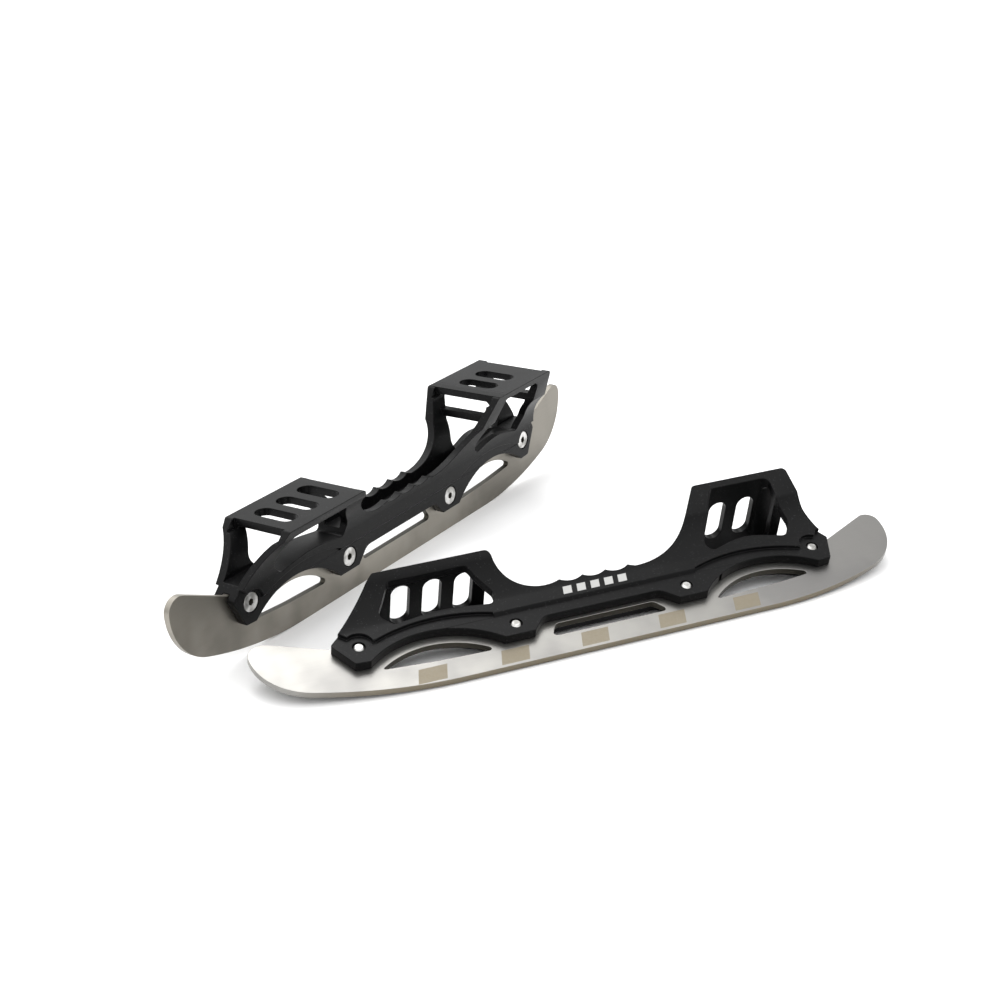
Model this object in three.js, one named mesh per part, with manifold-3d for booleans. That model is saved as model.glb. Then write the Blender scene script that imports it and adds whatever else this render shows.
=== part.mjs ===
// A pair of bolt-on ice blade chassis for skate boots. Each one is an aluminium frame milled from
// a single extrusion, a stainless steel blade clamped between its two cheeks, and four
// countersunk screws. The right chassis stands on its blade and the left one lies on its side.
//
// Sizes are in millimetres. Every chassis is drawn in its own frame first: x runs from toe to
// heel, y to the skater's right, z up, and the origin is the axis of the front screw in the
// middle of the blade.

import * as THREE from 'three';
import { mergeVertices } from 'three/addons/utils/BufferGeometryUtils.js';
import Module from 'manifold-3d';

const wasm = await Module();
wasm.setup();

// ---------------------------------------------------------------- driving dimensions

// Screws: two outer ones on the x axis, two inner ones lower down.
const outerScrewSpan = 224;
const innerScrewInset = 70;
const innerScrewDrop = 6.6;
const threadDiameter = 5;
const headDiameter = 9.2;
const headHeight = 2.9;
const headRimHeight = 0.4;
const tipChamfer = 0.6;
const hexAcrossFlats = 3;
const hexDepth = 2;

// Blade.
const bladeThickness = 3;
const edgeDrop = 26.8;
const toeRadius = 29.1;
const toeCentreX = -16.4;
const toeCentreZ = 11.5;
const toeTipRadius = 6.8;
const toeFlatFrom = 40;
const heelRadius = 30.6;
const heelCentreInset = -14.8;
const heelCentreZ = 12.6;
const heelTipRadius = 5.6;
const heelFlatFrom = 34;
const bladeBrowSlope = 0.45;
const tongueTopZ = 6.2;
const tongueWaistZ = 1;
const tongueStepFrom = 10;
const tongueStepLength = 6;
const bridgeHeight = 4.3;
const archWindowOuterX = 6.9;
const archWindowOuterZ = -12.2;
const archWindowSagX = 29;
const archWindowSagZ = -14.1;
const archWindowSagRadius = 120;
const archWindowInnerX = 57.4;
const archWindowInnerZ = -15.2;
const pointedTipRadius = 0.6;
const roundTipRadius = 1.3;
const midWindowHalfLength = 28.7;
const midWindowTopZ = -8;
const midWindowBottomZ = -15.2;
const midWindowEndSlant = 4.6;
const midWindowOffset = 0.9;
const midWindowFootRadius = 1.4;
const midWindowTopRadius = 3;

// Fits.
const fitGap = 0.3;
const slotGap = 0.3;

// Extruded section of the frame, as half widths at heights above the outer screws.
const cheekThickness = 4.5;
const foldZ = 0.1;
const foldHeight = 1.2;
const foldStep = 1.6;
const wallArcFromZ = 8;
const wallFootFlare = 0.2;
const wallArcRadius = 30.7;
const kinkZ = 26.3;
const kinkHalf = 17.8;
const bandFlare = 0.31;
const wallThickness = 4.1;
const bandThickness = 3.8;
const deckThickness = 3.8;
const chamberRadius = 2;

// Side outline of the frame.
const frontDeckX = 15.4;
const frontDeckLength = 54.7;
const frontDeckZ = 29.8;
const rearDeckInset = 45.6;
const rearDeckLength = 50.6;
const rearDeckZ = 40.5;
const deckEdgeRecess = 1.2;
const rearDeckTailRecess = 3.2;
const deckEarWidth = 4.5;
const deckEndReach = 10;
const deckCornerRadius = 2.5;
const deckNoseRadius = 1.5;
const noseX = -11.5;
const noseZ = 4;
const chinX = -4.5;
const chinZ = -9.6;
const chinSag = 0.3;
const tailBellyZ = 20;
const tailHipX = 8;
const tailHipZ = 9.5;
const tailTipX = 10.5;
const archRadius = 44;
const archX = 30.5;
const archTopZ = 0.2;
const innerLugZ = -13.5;
const innerLugHalfLength = 14;
const middleEdgeZ = -6.2;
const middleEdgeInset = 13.5;
const middleEdgeSlant = 6.9;
const middleEdgeRadius = 6;

// Gap between the two decks.
const crestZ = 11.8;
const scallopDepth = 1.7;
const scallopPitch = 11.3;
const instepRadius = 21;
const instepFloorZ = 10.5;
const riseRadius = 40.7;
const riseFloorZ = 10.4;
const riseEndAngle = THREE.MathUtils.degToRad(55.4);

// Side windows. Their corners are [x, z, radius], x from the end of the deck above and z from
// the deck's underside. A shallow crest in the middle of the sill joins the two sets.
const frontWindowToe = [[5.6, -1, 2.5], [-2.8, -12.8, 4], [3.4, -19.2, 3]];
const frontWindowCrest = [25.6, -15.8, 70];
const frontWindowHeel = [[-5.9, -19.4, 2.5], [-3.1, -13.4, 4], [-12.1, -1, 3]];
const rearWindowToe = [[8.2, 0.3, 3], [-5.4, -22.9, 4], [-2.6, -27.5, 3]];
const rearWindowCrest = [15.4, -22.5, 70];
const rearWindowHeel = [[-14.6, -27.7, 3], [-9.5, -20.9, 4], [-12.2, -11.2, 14], [-11, 0.3, 3.5]];

// Channel, cross bars and mounting slots.
const channelHalf = 4.4;
const channelFloorZ = 5;
const channelInset = 5;
const webTopZ = 9.6;
const crossBarTopZ = 29.8;
const frontCrossBarInset = 1;
const frontCrossBarLength = 5.5;
const rearCrossBarInset = 6.5;
const rearCrossBarLength = 7;
const mountSlotWidth = 9;
const mountSlotLength = 22;
const mountSlotPitch = 15;
const frontSlotCount = 3;
const firstFrontSlotX = 28;
const rearSlotCount = 2;
const lastRearSlotInset = 16;

// Clamp faces milled flat round the outer screws and over the blade's arched windows.
const bossRadius = 6.4;
const bossLipZ = 8.4;
const bossLipAngle = THREE.MathUtils.degToRad(125);
const clampArchX = 36;
const clampArchTopZ = 6;
const clampArchRadius = 75;
const clampArchEnd = 62;

// Countersinks in the cheek under the screw heads.
const headRecess = 0.25;

// Where the two chassis lie: the plan position of the left one's front screw from the right
// one's, and the direction in which each one points, from toe to heel.
const rightYaw = THREE.MathUtils.degToRad(56.3);
const leftYaw = THREE.MathUtils.degToRad(21.4);
const leftScrewX = 51.9;
const leftScrewY = -26.4;

// Smoothness of curves.
const arcStep = THREE.MathUtils.degToRad(6);
const roundSides = 32;

// ---------------------------------------------------------------- sizes that follow

const bladeHalf = bladeThickness / 2;
const clampHalf = bladeHalf + cheekThickness;
const slotHalf = bladeHalf + slotGap;
const midX = outerScrewSpan / 2;
const archCentre = new THREE.Vector2(archX, archTopZ - archRadius);
const archWindowRadius = archRadius - bridgeHeight;
const rearDeckX = outerScrewSpan - rearDeckInset;
const frontDeckEnd = frontDeckX + frontDeckLength;
const rearDeckEnd = rearDeckX + rearDeckLength;
const chamberRoofZ = frontDeckZ - deckThickness;
const rearRoofZ = rearDeckZ - deckThickness;
const wallArcFromHalf = clampHalf + foldStep + wallFootFlare;
const cutWidth = 4 * (kinkHalf + bandFlare * (rearDeckZ - kinkZ));
const farBelow = -2 * edgeDrop;
const farAbove = 2 * rearDeckZ;
const farToe = 3 * noseX;
const farHeel = outerScrewSpan - farToe;
const deckCornerReach = 3 * deckCornerRadius;
const overcut = 1;

const screws = [
  { x: 0, z: 0 },
  { x: innerScrewInset, z: -innerScrewDrop },
  { x: outerScrewSpan - innerScrewInset, z: -innerScrewDrop },
  { x: outerScrewSpan, z: 0 },
];

// ---------------------------------------------------------------- solids and booleans

function toSolid(geometry) {
  const bare = geometry.clone();
  bare.deleteAttribute('normal');
  bare.deleteAttribute('uv');
  const merged = mergeVertices(bare, 1e-4);
  const mesh = new wasm.Mesh({
    numProp: 3,
    vertProperties: new Float32Array(merged.attributes.position.array),
    triVerts: new Uint32Array(merged.index.array),
  });
  return new wasm.Manifold(mesh);
}

function toGeometry(solid) {
  const mesh = solid.getMesh();
  const geometry = new THREE.BufferGeometry();
  geometry.setAttribute('position', new THREE.BufferAttribute(new Float32Array(mesh.vertProperties), 3));
  geometry.setIndex(new THREE.BufferAttribute(new Uint32Array(mesh.triVerts), 1));
  geometry.computeVertexNormals();
  return geometry;
}

const straightSides = { bevelEnabled: false, curveSegments: 1 };

// A side outline in x and z, cut straight across the chassis.
function acrossSolid(shape, width, centreY = 0) {
  const geometry = new THREE.ExtrudeGeometry(shape, { depth: width, ...straightSides });
  geometry.rotateX(Math.PI / 2);
  geometry.translate(0, centreY + width / 2, 0);
  return toSolid(geometry);
}

// A cross-section in y and z, run along the chassis.
function alongSolid(shape, fromX, toX) {
  const geometry = new THREE.ExtrudeGeometry(shape, { depth: toX - fromX, ...straightSides });
  const turn = new THREE.Matrix4().makeBasis(
    new THREE.Vector3(0, 1, 0),
    new THREE.Vector3(0, 0, 1),
    new THREE.Vector3(1, 0, 0),
  );
  geometry.applyMatrix4(turn);
  geometry.translate(fromX, 0, 0);
  return toSolid(geometry);
}

// A plan outline in x and y, run straight up.
function uprightSolid(shape, fromZ, toZ) {
  const geometry = new THREE.ExtrudeGeometry(shape, { depth: toZ - fromZ, ...straightSides });
  geometry.translate(0, 0, fromZ);
  return toSolid(geometry);
}

function box(fromX, toX, halfY, fromZ, toZ) {
  const geometry = new THREE.BoxGeometry(toX - fromX, 2 * halfY, toZ - fromZ);
  geometry.translate((fromX + toX) / 2, 0, (fromZ + toZ) / 2);
  return toSolid(geometry);
}

// A round bar across the chassis, between two values of y.
function crossPin(x, z, fromY, toY, radiusFrom, radiusTo = radiusFrom) {
  const geometry = new THREE.CylinderGeometry(radiusTo, radiusFrom, toY - fromY, roundSides);
  geometry.translate(x, (fromY + toY) / 2, z);
  return toSolid(geometry);
}

function cut(body, tools) {
  return tools.reduce((left, tool) => left.subtract(tool), body);
}

function join(solids) {
  return solids.reduce((sum, solid) => sum.add(solid));
}

// ---------------------------------------------------------------- outlines

// Points of an arc from one angle to the other, whichever way round is given.
function arcPoints(x, z, radius, fromAngle, toAngle) {
  const steps = Math.max(2, Math.ceil(Math.abs(toAngle - fromAngle) / arcStep));
  const points = [];
  for (let i = 0; i <= steps; i += 1) {
    const angle = fromAngle + (toAngle - fromAngle) * (i / steps);
    points.push(new THREE.Vector2(x + radius * Math.cos(angle), z + radius * Math.sin(angle)));
  }
  return points;
}

// A closed outline through corners given as [x, z, radius], each rounded by its own radius.
function roundedOutline(corners) {
  const points = [];
  corners.forEach(([x, z, radius = 0], i) => {
    const corner = new THREE.Vector2(x, z);
    const [beforeX, beforeZ] = corners[(i + corners.length - 1) % corners.length];
    const [afterX, afterZ] = corners[(i + 1) % corners.length];
    const before = new THREE.Vector2(beforeX, beforeZ).sub(corner);
    const after = new THREE.Vector2(afterX, afterZ).sub(corner);
    if (radius === 0) {
      points.push(corner);
      return;
    }
    const room = Math.min(before.length(), after.length()) / 2;
    before.normalize();
    after.normalize();
    const halfAngle = Math.acos(THREE.MathUtils.clamp(before.dot(after), -1, 1)) / 2;
    const reach = Math.min(radius / Math.tan(halfAngle), room);
    const fitted = reach * Math.tan(halfAngle);
    const inward = before.clone().add(after).normalize();
    const centre = corner.clone().addScaledVector(inward, Math.hypot(reach, fitted));
    const start = corner.clone().addScaledVector(before, reach).sub(centre);
    const end = corner.clone().addScaledVector(after, reach).sub(centre);
    const turn = Math.atan2(start.cross(end), start.dot(end));
    points.push(...arcPoints(centre.x, centre.y, fitted, start.angle(), start.angle() + turn));
  });
  return new THREE.Shape(points);
}

// The same outline seen from the other end of the chassis.
function mirrored(shape) {
  return new THREE.Shape(shape.getPoints(1).map((p) => new THREE.Vector2(outerScrewSpan - p.x, p.y)));
}

// ---------------------------------------------------------------- extruded section

const bandAt = (z) => kinkHalf + bandFlare * (z - kinkZ);

// The wall bows between its foot and the kink on an arc that is hollow on the outside.
function wallArc() {
  const foot = new THREE.Vector2(wallArcFromHalf, wallArcFromZ);
  const kink = new THREE.Vector2(kinkHalf, kinkZ);
  const chord = kink.clone().sub(foot);
  const half = chord.length() / 2;
  const away = new THREE.Vector2(chord.y, -chord.x).normalize();
  const centre = foot.clone().addScaledVector(chord, 0.5);
  centre.addScaledVector(away, Math.sqrt(wallArcRadius ** 2 - half ** 2));
  const from = foot.clone().sub(centre).angle();
  const to = kink.clone().sub(centre).angle();
  return arcPoints(centre.x, centre.y, wallArcRadius, from, to);
}

// An outline in y and z from the corners of its right half.
function bothSides(right) {
  const left = right.map(([y, z, radius]) => [-y, z, radius]).reverse();
  return roundedOutline([...right, ...left]);
}

function outerSection() {
  return bothSides([
    [clampHalf, farBelow],
    [clampHalf, foldZ - foldHeight / 2],
    [clampHalf + foldStep, foldZ + foldHeight / 2],
    ...wallArc().map((p) => [p.x, p.y]),
    [bandAt(rearDeckZ), rearDeckZ],
  ]);
}

// The hollow between the walls follows their outside, with rounded corners under its deck.
function chamberSection(roofZ, roofHalf) {
  const inner = wallArc().map((p) => [p.x - wallThickness, p.y]);
  const wall = inner.filter(([, z]) => z > webTopZ && z < chamberRoofZ - overcut);
  return bothSides([[wall[0][0], webTopZ], ...wall, [roofHalf, roofZ, chamberRadius]]);
}

// ---------------------------------------------------------------- frame

function sideOutline() {
  const lugFrom = innerScrewInset - innerLugHalfLength;
  return roundedOutline([
    [chinX, chinZ],
    [0, chinZ - chinSag],
    [lugFrom, innerLugZ],
    [outerScrewSpan - lugFrom, innerLugZ],
    [outerScrewSpan, chinZ - chinSag],
    [outerScrewSpan - chinX, chinZ],
    [outerScrewSpan + tailTipX, noseZ],
    [outerScrewSpan + tailHipX, tailHipZ],
    [rearDeckEnd, tailBellyZ],
    [rearDeckEnd, rearDeckZ, deckCornerRadius],
    [midX, rearDeckZ],
    [midX, frontDeckZ],
    [frontDeckX, frontDeckZ, deckNoseRadius],
    [noseX, noseZ],
  ]);
}

// The gap between the decks: an arc down from the front deck, a row of scallops, and a long
// arc that rises to the rear deck.
function betweenDecks() {
  const instepX = frontDeckEnd + instepRadius;
  const instepZ = instepFloorZ + instepRadius;
  const riseX = rearDeckX - riseTopOffset();
  const riseZ = riseFloorZ + riseRadius;
  const crestFrom = instepX + Math.sqrt(instepRadius ** 2 - (instepZ - crestZ) ** 2);
  const crestTo = riseX - Math.sqrt(riseRadius ** 2 - (riseZ - crestZ) ** 2) / 3;
  const count = Math.max(1, Math.round((crestTo - crestFrom) / scallopPitch));
  const pitch = (crestTo - crestFrom) / count;
  const scallopRadius = ((pitch / 2) ** 2 + scallopDepth ** 2) / (2 * scallopDepth);
  const scallopZ = crestZ - scallopDepth + scallopRadius;
  const open = Math.asin(pitch / 2 / scallopRadius);
  const down = -Math.PI / 2;
  const path = [];
  const instepFrom = -Math.PI + Math.asin((instepZ - frontDeckZ + 2 * deckCornerRadius) / instepRadius);
  const instepTo = Math.atan2(crestZ - instepZ, crestFrom - instepX);
  path.push(...arcPoints(instepX, instepZ, instepRadius, instepFrom, instepTo));
  for (let i = 0; i < count; i += 1) {
    const x = crestFrom + (i + 0.5) * pitch;
    path.push(...arcPoints(x, scallopZ, scallopRadius, down - open, down + open).slice(1));
  }
  path.push(...arcPoints(riseX, riseZ, riseRadius, down, down + riseEndAngle));
  return roundedOutline([
    [frontDeckEnd - deckCornerReach, farAbove],
    [frontDeckEnd - deckCornerReach, frontDeckZ],
    [frontDeckEnd, frontDeckZ, deckCornerRadius],
    ...path.map((p) => [p.x, p.y]),
    [rearDeckX, rearDeckZ, deckCornerRadius],
    [rearDeckX + deckCornerReach, rearDeckZ],
    [rearDeckX + deckCornerReach, farAbove],
  ]);
}

// Distance from the centre of the rising arc to the front edge of the rear deck.
function riseTopOffset() {
  const endX = riseRadius * Math.sin(riseEndAngle);
  const endZ = riseFloorZ + riseRadius * (1 - Math.cos(riseEndAngle));
  return endX + (rearDeckZ - endZ) / Math.tan(riseEndAngle);
}

function middleEdge() {
  const fromX = innerScrewInset + middleEdgeInset;
  const toX = outerScrewSpan - fromX;
  const depth = 2 * (middleEdgeZ - innerLugZ);
  const slant = 2 * middleEdgeSlant;
  return roundedOutline([
    [fromX - slant, middleEdgeZ - depth],
    [fromX, middleEdgeZ, middleEdgeRadius],
    [toX, middleEdgeZ, middleEdgeRadius],
    [toX + slant, middleEdgeZ - depth],
  ]);
}

function sideWindow(deckX, deckEnd, roofZ, toe, crest, heel) {
  return roundedOutline([
    ...toe.map(([x, z, radius]) => [deckX + x, roofZ + z, radius]),
    [deckX + crest[0], roofZ + crest[1], crest[2]],
    ...heel.map(([x, z, radius]) => [deckEnd + x, roofZ + z, radius]),
  ]);
}

function frontWindow() {
  const corners = [frontWindowToe, frontWindowCrest, frontWindowHeel];
  return sideWindow(frontDeckX, frontDeckEnd, chamberRoofZ, ...corners);
}

function rearWindow() {
  const corners = [rearWindowToe, rearWindowCrest, rearWindowHeel];
  return sideWindow(rearDeckX, rearDeckEnd, rearRoofZ, ...corners);
}

// The flat that is milled round an outer screw and along the arch, down to the clamp face.
function clampFace() {
  const archZ = clampArchTopZ - clampArchRadius;
  const from = Math.acos((bossRadius - clampArchX) / clampArchRadius);
  const to = Math.acos((clampArchEnd - clampArchX) / clampArchRadius);
  return new THREE.Shape([
    new THREE.Vector2(clampArchEnd, farBelow),
    new THREE.Vector2(farToe, farBelow),
    new THREE.Vector2(farToe, bossLipZ),
    new THREE.Vector2(-bossRadius, bossLipZ),
    ...arcPoints(0, 0, bossRadius, bossLipAngle, 0),
    ...arcPoints(clampArchX, archZ, clampArchRadius, from, to),
  ]);
}

function clampFaceCuts() {
  const width = cutWidth / 2;
  const cuts = [];
  for (const shape of [clampFace(), mirrored(clampFace())]) {
    for (const side of [-1, 1]) {
      cuts.push(acrossSolid(shape, width, side * (clampHalf + width / 2)));
    }
  }
  return cuts;
}

function mountSlot(x) {
  const straight = mountSlotLength / 2 - mountSlotWidth / 2;
  const radius = mountSlotWidth / 2;
  return new THREE.Shape([
    ...arcPoints(x, straight, radius, 0, Math.PI),
    ...arcPoints(x, -straight, radius, Math.PI, 2 * Math.PI),
  ]);
}

function mountSlotCuts() {
  const cuts = [];
  for (let i = 0; i < frontSlotCount; i += 1) {
    const x = firstFrontSlotX + i * mountSlotPitch;
    cuts.push(uprightSolid(mountSlot(x), chamberRoofZ - overcut, frontDeckZ + overcut));
  }
  for (let i = 0; i < rearSlotCount; i += 1) {
    const x = outerScrewSpan - lastRearSlotInset - i * mountSlotPitch;
    cuts.push(uprightSolid(mountSlot(x), rearRoofZ - overcut, rearDeckZ + overcut));
  }
  return cuts;
}

// The ends of both decks are set back between two short ears.
function deckEndCuts() {
  const frontHalf = bandAt(frontDeckZ) - deckEarWidth;
  const rearHalf = bandAt(rearDeckZ) - deckEarWidth;
  const frontFrom = chamberRoofZ - overcut;
  const rearFrom = rearRoofZ - overcut;
  const frontTo = frontDeckX + deckEdgeRecess;
  const rearTo = rearDeckX + deckEdgeRecess;
  const frontEnd = frontDeckEnd - deckEdgeRecess;
  const rearEnd = rearDeckEnd - rearDeckTailRecess;
  return [
    box(frontTo - deckEndReach, frontTo, frontHalf, frontFrom, farAbove),
    box(frontEnd, frontEnd + deckEndReach, frontHalf, frontFrom, frontDeckZ + overcut),
    box(rearTo - deckEndReach, rearTo, rearHalf, rearFrom, farAbove),
    box(rearEnd, rearEnd + deckEndReach, rearHalf, rearFrom, farAbove),
  ];
}

function chamber() {
  const frontHalf = bandAt(chamberRoofZ) - wallThickness;
  const rearHalf = bandAt(rearRoofZ) - bandThickness;
  const front = alongSolid(chamberSection(chamberRoofZ, frontHalf), farToe, midX);
  const rear = alongSolid(chamberSection(rearRoofZ, rearHalf), midX, farHeel);
  return join([front, rear]);
}

function crossBars() {
  const half = bandAt(crossBarTopZ);
  const fromZ = crossBarTopZ - deckThickness;
  const frontX = rearDeckX - frontCrossBarInset;
  const rearX = rearDeckEnd - rearCrossBarInset;
  const bars = join([
    box(frontX, frontX + frontCrossBarLength, half, fromZ, crossBarTopZ),
    box(rearX - rearCrossBarLength, rearX, half, fromZ, crossBarTopZ),
  ]);
  return bars.intersect(alongSolid(outerSection(), 0, outerScrewSpan + tailHipX));
}

function channel() {
  const fromX = frontDeckEnd + channelInset + channelHalf;
  const toX = rearDeckX - channelInset - channelHalf;
  const plan = new THREE.Shape([
    ...arcPoints(fromX, 0, channelHalf, Math.PI / 2, 1.5 * Math.PI),
    ...arcPoints(toX, 0, channelHalf, -Math.PI / 2, Math.PI / 2),
  ]);
  return uprightSolid(plan, channelFloorZ, farAbove);
}

// Blade slot: its roof keeps the fit gap to the blade's tongue.
function bladeSlot() {
  const stepFrom = tongueStepFrom + fitGap;
  const stepTo = stepFrom + tongueStepLength;
  return new THREE.Shape([
    new THREE.Vector2(farToe, farBelow),
    new THREE.Vector2(farHeel, farBelow),
    new THREE.Vector2(farHeel, tongueTopZ + fitGap),
    new THREE.Vector2(outerScrewSpan - stepFrom, tongueTopZ + fitGap),
    new THREE.Vector2(outerScrewSpan - stepTo, tongueWaistZ + fitGap),
    new THREE.Vector2(stepTo, tongueWaistZ + fitGap),
    new THREE.Vector2(stepFrom, tongueTopZ + fitGap),
    new THREE.Vector2(farToe, tongueTopZ + fitGap),
  ]);
}

// The mouths of the slot above the tongue, where the blade's brow climbs out of the frame.
function slotMouth() {
  const browX = tongueBrowX();
  const reach = bladeBrowSlope * (browX - farToe);
  return new THREE.Shape([
    new THREE.Vector2(browX + 2 * fitGap, tongueTopZ),
    new THREE.Vector2(farToe, tongueTopZ),
    new THREE.Vector2(farToe, tongueTopZ + reach + fitGap),
    new THREE.Vector2(browX + 2 * fitGap, tongueTopZ + 2 * fitGap),
  ]);
}

function screwHoles(headSide) {
  const radius = threadDiameter / 2 + fitGap;
  const headRadius = headDiameter / 2 + fitGap;
  const face = clampHalf - headRecess;
  const coneEnd = face - headRimHeight - (headHeight - headRimHeight);
  const holes = [];
  for (const { x, z } of screws) {
    const through = crossPin(x, z, -cutWidth, cutWidth, radius);
    const sunk = crossPin(x, z, face - headRimHeight - fitGap, cutWidth, headRadius);
    const cone = crossPin(x, z, coneEnd - fitGap, face - headRimHeight - fitGap, radius, headRadius);
    for (const tool of [sunk, cone]) {
      holes.push(headSide > 0 ? tool : tool.rotate([0, 0, 180]).translate([2 * x, 0, 0]));
    }
    holes.push(through);
  }
  return holes;
}

function frameSolid(headSide) {
  const blank = alongSolid(outerSection(), farToe, farHeel);
  const outlined = blank.intersect(acrossSolid(sideOutline(), cutWidth));
  const arch = new THREE.Shape(arcPoints(archCentre.x, archCentre.y, archRadius, 0, Math.PI));
  const slotWidth = 2 * slotHalf;
  const hollowed = cut(outlined, [
    acrossSolid(betweenDecks(), cutWidth),
    acrossSolid(arch, cutWidth),
    acrossSolid(mirrored(arch), cutWidth),
    acrossSolid(middleEdge(), cutWidth),
    chamber(),
    channel(),
  ]);
  return cut(hollowed.add(crossBars()), [
    acrossSolid(frontWindow(), cutWidth),
    acrossSolid(rearWindow(), cutWidth),
    ...clampFaceCuts(),
    ...mountSlotCuts(),
    ...deckEndCuts(),
    acrossSolid(bladeSlot(), slotWidth),
    acrossSolid(slotMouth(), slotWidth),
    acrossSolid(mirrored(slotMouth()), slotWidth),
    ...screwHoles(headSide),
  ]);
}

// ---------------------------------------------------------------- blade

// Where the sloping brow of the blade meets the level top of its tongue.
function tongueBrowX() {
  const centreX = toeCentreX - (toeRadius - toeTipRadius);
  const normal = Math.atan2(1, bladeBrowSlope);
  const fromX = centreX + toeTipRadius * Math.cos(normal);
  const fromZ = toeCentreZ + toeTipRadius * Math.sin(normal);
  return fromX + (fromZ - tongueTopZ) / bladeBrowSlope;
}

// Radius of the arc that is tangent to the straight edge and to the inside of an end's arc.
function rockerRadius(run, endRadius, endCentreZ) {
  const rise = endCentreZ + edgeDrop;
  return (run ** 2 + rise ** 2 - endRadius ** 2) / (2 * (rise - endRadius));
}

// One end of the blade, as seen at the toe: from the straight edge round the end to the tongue.
function bladeEnd(flatX, centreX, endCentreZ, endRadius, tipRadius) {
  const run = flatX - centreX;
  const rocker = rockerRadius(run, endRadius, endCentreZ);
  const meet = Math.atan2(endCentreZ + edgeDrop - rocker, -run);
  const normal = Math.atan2(1, bladeBrowSlope);
  const tipX = centreX - (endRadius - tipRadius);
  return [
    ...arcPoints(flatX, rocker - edgeDrop, rocker, -Math.PI / 2, meet),
    ...arcPoints(centreX, endCentreZ, endRadius, meet, -Math.PI).slice(1),
    ...arcPoints(tipX, endCentreZ, tipRadius, Math.PI, normal).slice(1),
  ];
}

function bladeOutline() {
  const toe = bladeEnd(toeFlatFrom, toeCentreX, toeCentreZ, toeRadius, toeTipRadius);
  const heel = bladeEnd(heelFlatFrom, heelCentreInset, heelCentreZ, heelRadius, heelTipRadius)
    .map((p) => new THREE.Vector2(outerScrewSpan - p.x, p.y))
    .reverse();
  const heelTip = heel[0];
  const heelBrowX = heelTip.x - (heelTip.y - tongueTopZ) / bladeBrowSlope;
  const stepTo = tongueStepFrom + tongueStepLength;
  const tongue = [
    new THREE.Vector2(tongueBrowX(), tongueTopZ),
    new THREE.Vector2(tongueStepFrom, tongueTopZ),
    new THREE.Vector2(stepTo, tongueWaistZ),
    new THREE.Vector2(outerScrewSpan - stepTo, tongueWaistZ),
    new THREE.Vector2(outerScrewSpan - tongueStepFrom, tongueTopZ),
    new THREE.Vector2(heelBrowX, tongueTopZ),
  ];
  return new THREE.Shape([...toe, ...tongue, ...heel]);
}

// The centre of a small round that touches the arched window's arc from inside and its sill from
// above, going out from the sill's middle towards one end.
function tipCentre(from, to, radius) {
  const out = to.clone().sub(from).normalize();
  const start = from.clone().addScaledVector(risingFrom(out), radius).sub(archCentre);
  const half = start.dot(out);
  const reach = archWindowRadius - radius;
  const root = Math.sqrt(half ** 2 - start.lengthSq() + reach ** 2);
  return start.addScaledVector(out, root - half).add(archCentre);
}

// The direction square to another that points up.
function risingFrom(direction) {
  return new THREE.Vector2(-direction.y, direction.x).multiplyScalar(Math.sign(direction.x));
}

// An arched window leaves a bridge of even height under the frame's arch. Its outer tip points
// away from the middle of the blade.
function archWindow(outerRadius, innerRadius) {
  const outerFoot = new THREE.Vector2(archWindowOuterX, archWindowOuterZ);
  const innerFoot = new THREE.Vector2(archWindowInnerX, archWindowInnerZ);
  const sag = new THREE.Vector2(archWindowSagX, archWindowSagZ);
  const outer = tipCentre(sag, outerFoot, outerRadius);
  const inner = tipCentre(sag, innerFoot, innerRadius);
  const outerAngle = outer.clone().sub(archCentre).angle();
  const innerAngle = inner.clone().sub(archCentre).angle();
  const outerDown = risingFrom(sag.clone().sub(outerFoot)).negate().angle();
  const innerDown = risingFrom(innerFoot.clone().sub(sag)).negate().angle() - 2 * Math.PI;
  const sharp = ({ x, y }) => [x, y];
  return roundedOutline([
    ...arcPoints(archCentre.x, archCentre.y, archWindowRadius, innerAngle, outerAngle).map(sharp),
    ...arcPoints(outer.x, outer.y, outerRadius, outerAngle, outerDown).map(sharp).slice(1),
    [sag.x, sag.y, archWindowSagRadius],
    ...arcPoints(inner.x, inner.y, innerRadius, innerDown, innerAngle).map(sharp).slice(0, -1),
  ]);
}

function middleWindow() {
  const x = midX + midWindowOffset;
  const half = midWindowHalfLength;
  return roundedOutline([
    [x - half, midWindowBottomZ, midWindowFootRadius],
    [x + half, midWindowBottomZ, midWindowFootRadius],
    [x + half - midWindowEndSlant, midWindowTopZ, midWindowTopRadius],
    [x - half + midWindowEndSlant, midWindowTopZ, midWindowTopRadius],
  ]);
}

function bladeSolid() {
  const wide = 4 * bladeThickness;
  const hole = threadDiameter / 2 + fitGap;
  const holes = screws.map(({ x, z }) => crossPin(x, z, -wide, wide, hole));
  return cut(acrossSolid(bladeOutline(), bladeThickness), [
    acrossSolid(archWindow(pointedTipRadius, roundTipRadius), wide),
    acrossSolid(mirrored(archWindow(roundTipRadius, pointedTipRadius)), wide),
    acrossSolid(middleWindow(), wide),
    ...holes,
  ]);
}

// ---------------------------------------------------------------- screw

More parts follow.
